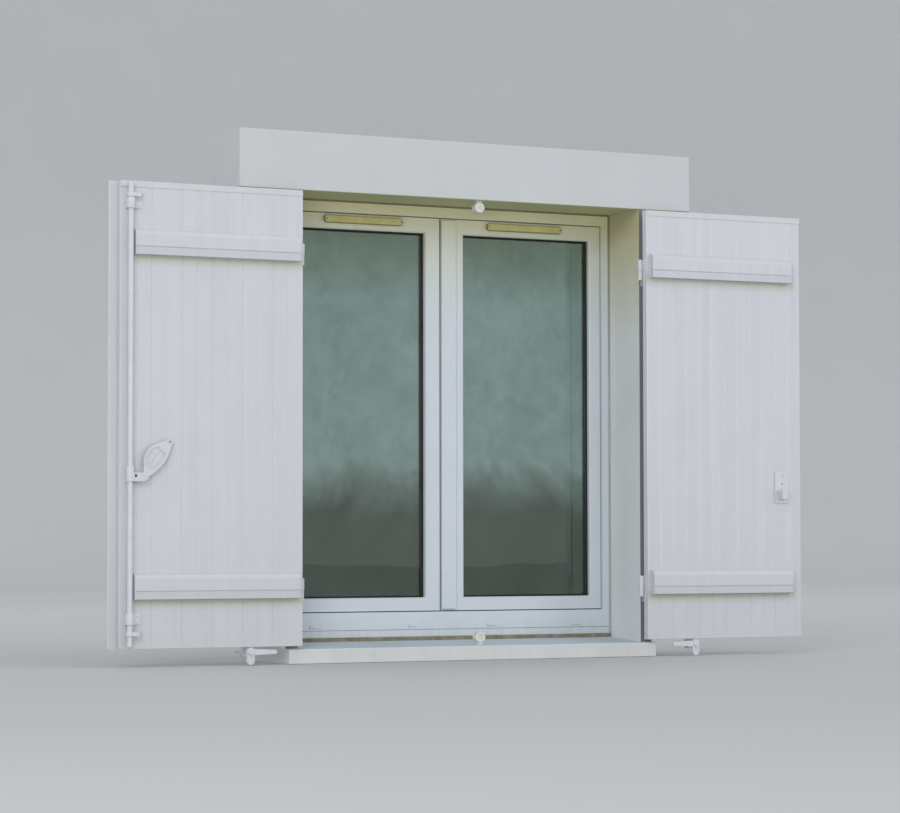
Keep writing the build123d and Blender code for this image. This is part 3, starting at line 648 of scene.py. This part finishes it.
def makeScrewTree():
    tree = bpy.data.node_groups.new("screwHeads", "GeometryNodeTree")
    tree.is_modifier = True
    face = tree.interface
    face.new_socket(name="Geometry", in_out="INPUT", socket_type="NodeSocketGeometry")
    sockets = {}
    for label, kind in (("headRadius", "Float"), ("headHeight", "Float"), ("slotWidth", "Float"),
                        ("slotDepth", "Float"), ("seed", "Int"), ("finish", "Material")):
        made = face.new_socket(name=label, in_out="INPUT", socket_type="NodeSocket" + kind)
        sockets[label] = made.identifier
    face.new_socket(name="Geometry", in_out="OUTPUT", socket_type="NodeSocketGeometry")
    entry = put(tree, "NodeGroupInput").outputs
    size = put(tree, "ShaderNodeCombineXYZ")
    for axis, label in (("X", "headRadius"), ("Y", "headRadius"), ("Z", "headHeight")):
        join(tree, entry[label], size.inputs[axis])
    ball = put(tree, "GeometryNodeMeshUVSphere", Segments=headShape["segments"], Rings=headShape["rings"])
    dome = put(tree, "GeometryNodeTransform")
    join(tree, ball.outputs["Mesh"], dome.inputs["Geometry"])
    join(tree, size.outputs["Vector"], dome.inputs["Scale"])
    cut = put(tree, "GeometryNodeMeshBoolean", operation="DIFFERENCE", solver="EXACT")
    join(tree, dome.outputs["Geometry"], cut.inputs["Mesh 1"])
    length = times(tree, entry["headRadius"], headShape["slotReach"])
    depth = times(tree, entry["slotDepth"], 2.0)  # the bar is centred on the dome's top
    for first, second in ((entry["slotWidth"], length), (length, entry["slotWidth"])):
        bar = put(tree, "ShaderNodeCombineXYZ")
        for axis, value in (("X", first), ("Y", second), ("Z", depth)):
            join(tree, value, bar.inputs[axis])
        cube = put(tree, "GeometryNodeMeshCube")
        join(tree, bar.outputs["Vector"], cube.inputs["Size"])
        lift = put(tree, "ShaderNodeCombineXYZ")
        join(tree, entry["headHeight"], lift.inputs["Z"])
        move = put(tree, "GeometryNodeTransform")
        join(tree, cube.outputs["Mesh"], move.inputs["Geometry"])
        join(tree, lift.outputs["Vector"], move.inputs["Translation"])
        join(tree, move.outputs["Geometry"], cut.inputs["Mesh 2"])
    heading = put(tree, "GeometryNodeInputNamedAttribute", data_type="FLOAT_VECTOR", Name="facing")
    align = put(tree, "FunctionNodeAlignRotationToVector", axis="Z")
    join(tree, heading.outputs["Attribute"], align.inputs["Vector"])
    chance = put(tree, "FunctionNodeRandomValue", data_type="FLOAT")
    chance.inputs[3].default_value = math.pi  # the float maximum
    join(tree, entry["seed"], chance.inputs["Seed"])
    spin = put(tree, "FunctionNodeAxisAngleToRotation", Axis=(0, 0, 1))
    join(tree, chance.outputs[1], spin.inputs["Angle"])
    turn = put(tree, "FunctionNodeRotateRotation", rotation_space="LOCAL")
    join(tree, align.outputs["Rotation"], turn.inputs["Rotation"])
    join(tree, spin.outputs["Rotation"], turn.inputs["Rotate By"])
    many = put(tree, "GeometryNodeInstanceOnPoints")
    join(tree, entry["Geometry"], many.inputs["Points"])
    join(tree, cut.outputs["Mesh"], many.inputs["Instance"])
    join(tree, turn.outputs["Rotation"], many.inputs["Rotation"])
    real = put(tree, "GeometryNodeRealizeInstances")
    join(tree, many.outputs["Instances"], real.inputs["Geometry"])
    coat = put(tree, "GeometryNodeSetMaterial")
    join(tree, real.outputs["Geometry"], coat.inputs["Geometry"])
    join(tree, entry["finish"], coat.inputs["Material"])
    join(tree, coat.outputs["Geometry"], put(tree, "NodeGroupOutput").inputs["Geometry"])
    return tree, sockets


screwTree, screwSockets = makeScrewTree()


def screws(name, body, places, settings, finish):
    data = bpy.data.meshes.new(name)
    data.from_pydata([spot for spot, _ in places], [], [])
    facing = data.attributes.new("facing", "FLOAT_VECTOR", "POINT")
    facing.data.foreach_set("vector", [value for _, way in places for value in way])
    obj = addObject(name, data)
    modifier = obj.modifiers.new("heads", "NODES")
    modifier.node_group = screwTree
    for label, value in settings.items():
        modifier[screwSockets[label]] = value
    modifier[screwSockets["finish"]] = finish
    obj.update_tag()
    solid = bpy.data.meshes.new_from_object(obj.evaluated_get(bpy.context.evaluated_depsgraph_get()))
    obj.modifiers.remove(modifier)
    obj.data = solid
    solid.name = name
    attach(obj, body)


woodScrew = {"headRadius": 0.0042, "headHeight": 0.0021, "slotWidth": 0.0011, "slotDepth": 0.0011, "seed": 3}
coachScrew = {"headRadius": 0.0085, "headHeight": 0.0040, "slotWidth": 0.0016, "slotDepth": 0.0010, "seed": 5}
smallScrew = {"headRadius": 0.0026, "headHeight": 0.0013, "slotWidth": 0.0008, "slotDepth": 0.0008, "seed": 9}
ventScrew = {"headRadius": 0.0034, "headHeight": 0.0012, "slotWidth": 0.0009, "slotDepth": 0.0006, "seed": 4}
toWall, fromWall = (0, 1, 0), (0, -1, 0)

hingeScrews = {
    "along": (0.09, 0.30, 0.54, 0.78, 0.955),
    "strapBack": -0.0135,
    "plateMiddle": 0.6235,
    "plateFront": -0.0040,
    "plateRises": (0.0095, 0.0545),
}
s = hingeScrews
for side, sign in (("left", -1), ("right", 1)):
    leafSpots = []
    plateSpots = []
    for level in ("lower", "upper"):
        low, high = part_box(f"{side}_{level}_strap")
        rise = (low.z + high.z) / 2
        root, end = (high.x, low.x) if sign < 0 else (low.x, high.x)
        leafSpots += [((root + (end - root) * along, s["strapBack"], rise), toWall) for along in s["along"]]
        low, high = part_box(f"{side}_{level}_pintle")
        plateSpots += [((sign * s["plateMiddle"], s["plateFront"], low.z + rise), fromWall)
                       for rise in s["plateRises"]]
    screws(f"{side}_strap_screws", f"{side}_leaf", leafSpots, coachScrew, whiteEnamel)
    screws(f"{side}_pintle_screws", "surround", plateSpots, woodScrew, whiteEnamel)
print("hinge screws made")

boltScrews = {
    "guideInset": 0.009,
    "guideFront": -0.0475,
    "guideEnd": 0.008,
    "tipFromRod": 0.033,
    "tipFront": -0.0590,
}
s = boltScrews
guideSpots = []
for name in ("lower_rod_guide", "upper_rod_guide"):
    low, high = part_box(name)
    for z in (low.z + s["guideEnd"], high.z - s["guideEnd"]):
        guideSpots.append(((high.x - s["guideInset"], s["guideFront"], z), fromWall))
screws("guide_screws", "left_leaf", guideSpots, woodScrew, whiteEnamel)
low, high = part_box("bolt_rod")
tip = (low.x + high.x) / 2 + s["tipFromRod"]
tipSpots = []
for name in ("lower_hook", "upper_hook"):
    low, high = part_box(name)
    tipSpots.append(((tip, s["tipFront"], (low.z + high.z) / 2), fromWall))
screws("hook_tip_screws", "bolt", tipSpots, smallScrew, darkSteel)

keeperScrews = {
    "front": -0.0465,
    "upperDrop": 0.016,
    "lowerDrop": 0.042,
    "footRise": 0.012,
    "footSpread": 0.018,
}
s = keeperScrews
low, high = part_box("grip_keeper")
x = (low.x + high.x) / 2
foot = low.z + s["footRise"]
spots = [((x, s["front"], high.z - s["upperDrop"]), fromWall)]
spots += [((x + way * s["footSpread"], s["front"], foot), fromWall) for way in (-1, 1)]
screws("keeper_screws", "right_leaf", spots, woodScrew, whiteEnamel)
spots = [((x, s["front"], high.z - s["lowerDrop"]), fromWall)]
screws("keeper_bare_screw", "right_leaf", spots, smallScrew, darkSteel)

windowScrews = {
    "ventInset": 0.0068,
    "ventSink": 0.0002,
    "roseInset": 0.018,
    "cupDepth": 0.003,
    "cupInset": 0.017,
}
s = windowScrews
for side in ("left", "right"):
    low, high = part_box(f"{side}_vent_cover")
    front, z = low.y + s["ventSink"], (low.z + high.z) / 2
    spots = [((x, front, z), fromWall) for x in (low.x + s["ventInset"], high.x - s["ventInset"])]
    screws(f"{side}_vent_screws", f"{side}_casement", spots, ventScrew, darkSteel)
low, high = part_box("handle_rose")
x = (low.x + high.x) / 2
spots = [((x, high.y, z), toWall) for z in (low.z + s["roseInset"], high.z - s["roseInset"])]
screws("rose_screws", "right_casement", spots, woodScrew, screwZinc)
stopSpots = []
for name in ("sill_stop", "soffit_stop"):
    low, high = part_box(name)
    z = high.z - s["cupInset"] if name == "sill_stop" else low.z + s["cupInset"]
    stopSpots.append((((low.x + high.x) / 2, low.y + s["cupDepth"], z), fromWall))
screws("stop_screws", "surround", stopSpots, woodScrew, stopPlastic)
print("small screws made")


# Seals, gaskets and trims of the window

def ring(name, x, z, profile, finish, body, sides=(0, 1, 2, 3)):
    # a profile of (inward, y) points carried round a rectangle with mitred corners; sides in order are
    # foot, right, head, left, and a run that isn't closed gets its two ends capped
    corners = ((x[0], 1, z[0], 1), (x[1], -1, z[0], 1), (x[1], -1, z[1], -1), (x[0], 1, z[1], -1))
    vertices = [(cx + sx * inward, y, cz + sz * inward)
                for cx, sx, cz, sz in corners for inward, y in profile]
    count = len(profile)
    faces = []
    for corner in sides:
        first, second = corner * count, (corner + 1) % 4 * count
        for index in range(count):
            other = (index + 1) % count
            faces.append((first + index, first + other, second + other, second + index))
    if len(sides) < 4:
        for corner in (sides[0], (sides[-1] + 1) % 4):
            faces.append(tuple(range(corner * count, (corner + 1) * count)))
    used = sorted({index for face in faces for index in face})
    renumber = {old: new for new, old in enumerate(used)}
    faces = [tuple(renumber[index] for index in face) for face in faces]
    meshPiece(name, [vertices[index] for index in used], faces, finish, body)


def prismFaces(count):
    # the sides between two outlines listed one after the other, and both ends
    faces = [(i, (i + 1) % count, count + (i + 1) % count, count + i) for i in range(count)]
    return faces + [tuple(range(count)), tuple(range(count, 2 * count))]


sealSizes = {
    "width": 0.0055,
    "stand": 0.0016,
    "paneBite": 0.012,
    "buried": 0.0004,
    "lift": 0.0001,
    "lip": ((0.8, 0.8), (0.3, 1.5)),
    "backStand": 1.7,
}
s = sealSizes
for side in ("left", "right"):
    low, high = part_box(f"{side}_glazing")
    x = (low.x + s["paneBite"], high.x - s["paneBite"])
    z = (low.z + s["paneBite"], high.z - s["paneBite"])
    for label, y, way in (("outer", low.y, -1), ("inner", high.y, 1)):
        profile = [(-s["buried"], y + way * s["lift"]), (s["width"], y + way * s["lift"])]
        profile += [(s["width"] * inward, y + way * s["stand"] * out) for inward, out in s["lip"]]
        profile.append((-s["buried"], y + way * s["stand"] * s["backStand"]))
        ring(f"{side}_{label}_glass_seal", x, z, profile, sealRubber, f"{side}_casement")
print("glass seals made")

gasketSizes = {
    "holeX": 0.572,
    "holeZ": (0.147, 1.404),
    "reach": 0.0026,
    "setBack": 0.0025,
    "footSetBack": 0.0060,
    "depth": 0.0024,
    "buried": 0.0003,
    "chamfer": (0.7, 0.3),
    "sashFront": 0.205,
    "meetingEdge": -0.0185,
    "meetingReach": 0.0032,
    "meetingShoulder": 0.8,
    "meetingSetBack": 0.0042,
    "meetingEnd": 0.001,
}
s = gasketSizes
for name, back, sides, finish in (("sash_gasket", s["setBack"], (1, 2, 3), sashGasket),
                                  ("sash_foot_gasket", s["footSetBack"], (0,), sealRubber)):
    front = s["sashFront"] + back
    cutIn, cutBack = s["chamfer"]
    profile = [(-s["buried"], front), (s["reach"] * cutIn, front), (s["reach"], front + s["depth"] * cutBack),
               (s["reach"], front + s["depth"]), (-s["buried"], front + s["depth"])]
    ring(name, (-s["holeX"], s["holeX"]), s["holeZ"], profile, finish, "surround", sides)

low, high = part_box("left_sash")
front = s["sashFront"] + s["meetingSetBack"]
back = front + s["depth"]
edge, reach = s["meetingEdge"], s["meetingReach"]
shoulder = edge + reach * s["meetingShoulder"]
lip = [(edge - s["buried"], front), (shoulder, front), (edge + reach, (front + back) / 2), (shoulder, back),
       (edge - s["buried"], back)]
vertices = [(x, y, z) for z in (low.z + s["meetingEnd"], high.z - s["meetingEnd"]) for x, y in lip]
meshPiece("meeting_gasket", vertices, prismFaces(len(lip)), sashGasket, "left_casement")
print("gaskets made")

trimSizes = {
    "sealantLeg": 0.006,
    "sealantCurve": (0.35, 0.62),
    "trimBack": 0.0082,
    "trimFront": 0.0020,
    "trimHeight": 0.0208,
    "trimLift": 0.0002,
    "trimRound": 0.003,
    "roundSteps": 4,
    "trimEnd": 0.0008,
}
s = trimSizes
low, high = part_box("window_frame")
leg = s["sealantLeg"]
near, far = (leg * share for share in s["sealantCurve"])
bead = [(0, low.y - leg), (near, low.y - far), (far, low.y - near), (leg, low.y), (0, low.y)]
ring("frame_sealant", (low.x, high.x), (low.z, high.z), bead, sealant, "surround", (1, 2, 3))

back, front = low.y + s["trimBack"], low.y + s["trimFront"]
outline = [(back, low.z + s["trimLift"]), (front, low.z + s["trimLift"])]
for step in range(s["roundSteps"] + 1):
    angle = math.radians(90 * step / s["roundSteps"])
    outline.append((front + s["trimRound"] * (1 - math.cos(angle)),
                    low.z + s["trimHeight"] - s["trimRound"] * (1 - math.sin(angle))))
outline.append((back, low.z + s["trimHeight"]))
vertices = [(x, y, z) for x in (low.x + s["trimEnd"], high.x - s["trimEnd"]) for y, z in outline]
meshPiece("foot_trim", vertices, prismFaces(len(outline)), windowPlastic, "surround")

drainSizes = {
    "places": (-0.46, -0.12, 0.16, 0.47),
    "length": 0.030,
    "height": 0.009,
    "stand": 0.004,
    "rise": 0.0335,
    "slope": 0.5,
    "bevel": 0.001,
}


def drainCaps(corner):
    s = drainSizes
    caps = bmesh.new()
    for x in s["places"]:
        centre = Vector((x, corner.y - s["stand"] / 2, corner.z + s["rise"]))
        for vert in bmesh.ops.create_cube(caps, size=1)["verts"]:
            slope = s["slope"] if vert.co.y < 0 and vert.co.z > 0 else 1.0
            sized = Vector((vert.co.x * s["length"], vert.co.y * s["stand"], vert.co.z * s["height"] * slope))
            vert.co = sized + centre
    outer = corner.y - s["bevel"]
    edges = [edge for edge in caps.edges if max(vert.co.y for vert in edge.verts) < outer]
    bmesh.ops.bevel(caps, geom=edges, offset=s["bevel"], segments=2, affect="EDGES")
    data = bpy.data.meshes.new("drain_caps")
    caps.to_mesh(data)
    caps.free()
    data.materials.append(windowPlastic)
    obj = addObject("drain_caps", data)
    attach(obj, "surround")


drainCaps(low)
print("window details made")


# Stage, light and camera

stageLook = {
    "floorNear": (0.46, 0.47, 0.48),
    "floorFar": (0.64, 0.65, 0.66),
    "floorFade": (-2.5, 6.0),
    "floorSpeck": (0.40, 0.40, 0.40),
    "speckNoise": (1.2, 3),
    "speckSpots": (0.3, 0.7, 0.0, 0.06),
    "rough": 0.9,
    "start": -32,
    "flat": 14,
    "bend": 4,
    "bendSteps": 12,
    "top": 14,
    "half": 22,
    "drop": 0.0005,
}
worldLook = {
    "fill": (0.95, 0.975, 1.0, 1),
    "fillStrength": 0.79,
    "backdrop": (0.90, 0.91, 0.92, 1),
    "backdropStrength": 0.8,
}


def makeFloor():
    s = stageLook
    made, tree, shader, place = startMaterial("studioFloor")
    y = axes(tree, place)[1]
    colour = tint(tree, spread(tree, y, *s["floorFade"]), s["floorNear"], s["floorFar"])
    speckle = spread(tree, noise(tree, place, *s["speckNoise"]), *s["speckSpots"])
    join(tree, tint(tree, speckle, colour, s["floorSpeck"]), shader.inputs["Base Color"])
    shader.inputs["Roughness"].default_value = s["rough"]
    data = bpy.data.meshes.new("floor")
    flat, bend = s["flat"], s["bend"]
    rows = [(s["start"], 0), (flat, 0)]
    for step in range(1, s["bendSteps"] + 1):
        angle = step / s["bendSteps"] * math.pi / 2
        rows.append((flat + bend * math.sin(angle), bend - bend * math.cos(angle)))
    rows.append((flat + bend, s["top"]))
    vertices = [(x, y, z - s["drop"]) for y, z in rows for x in (-s["half"], s["half"])]
    faces = [(2 * i, 2 * i + 1, 2 * i + 3, 2 * i + 2) for i in range(len(rows) - 1)]
    data.from_pydata(vertices, [], faces)
    data.materials.append(made)
    for face in data.polygons:
        face.use_smooth = True
    obj = addObject("studioFloor", data)


def makeWorld():
    s = worldLook
    world = bpy.data.worlds.new("studio")
    world.use_nodes = True
    tree = world.node_tree
    tree.nodes.clear()
    path = put(tree, "ShaderNodeLightPath").outputs
    seen = sums(tree, "MAXIMUM", path["Is Glossy Ray"], path["Is Transmission Ray"])
    seen = sums(tree, "MAXIMUM", path["Is Camera Ray"], seen)
    soft = put(tree, "ShaderNodeBackground", Color=s["fill"], Strength=s["fillStrength"])
    pale = put(tree, "ShaderNodeBackground", Color=s["backdrop"], Strength=s["backdropStrength"])
    mix = put(tree, "ShaderNodeMixShader")
    for index, source in enumerate((seen, soft.outputs[0], pale.outputs[0])):
        join(tree, source, mix.inputs[index])
    join(tree, mix.outputs[0], put(tree, "ShaderNodeOutputWorld").inputs["Surface"])
    bpy.context.scene.world = world


lamps = (
    {"name": "keyLight", "place": (-5.2, -5.8, 4.6), "target": (0, 0, 0.8), "size": (4.0, 3.0),
     "power": 145, "colour": (1.0, 0.985, 0.965)},
    {"name": "sideLight", "place": (5.5, -4.5, 2.6), "target": (0.3, 0, 0.8), "size": (3.0, 3.0),
     "power": 88, "colour": (0.95, 0.97, 1.0)},
    {"name": "lowLight", "place": (-5.4, -8.4, 0.6), "target": (0.2, 0.1, 1.1), "size": (4.0, 1.4),
     "power": 165, "colour": (1.0, 0.99, 0.97)},
)


def makeLamp(s):
    data = bpy.data.lights.new(s["name"], "AREA")
    data.shape = "RECTANGLE"
    data.size, data.size_y = s["size"]
    data.energy = s["power"]
    data.color = s["colour"]
    obj = addObject(s["name"], data)
    obj.location = s["place"]
    obj.rotation_euler = (Vector(s["target"]) - Vector(s["place"])).to_track_quat("-Z", "Y").to_euler()


cameraPlace = {
    "place": (-4.116, -8.087, 0.370),
    "heading": 26.50,
    "rise": 2.66,
    "tilt": 0.09,
    "lens": 116.0,
    "sensor": 36,
    "clipEnd": 100,
}


def makeCamera():
    s = cameraPlace
    data = bpy.data.cameras.new("photoCamera")
    data.sensor_width = s["sensor"]
    data.lens = s["lens"]
    data.clip_end = s["clipEnd"]
    obj = addObject("photoCamera", data)
    obj.location = s["place"]
    obj.rotation_euler = (math.radians(90 + s["rise"]), math.radians(s["tilt"]), math.radians(-s["heading"]))
    bpy.context.scene.camera = obj


makeFloor()
makeWorld()
for settings in lamps:
    makeLamp(settings)
makeCamera()
bpy.context.scene.view_settings.view_transform = "Standard"
print("stage made")
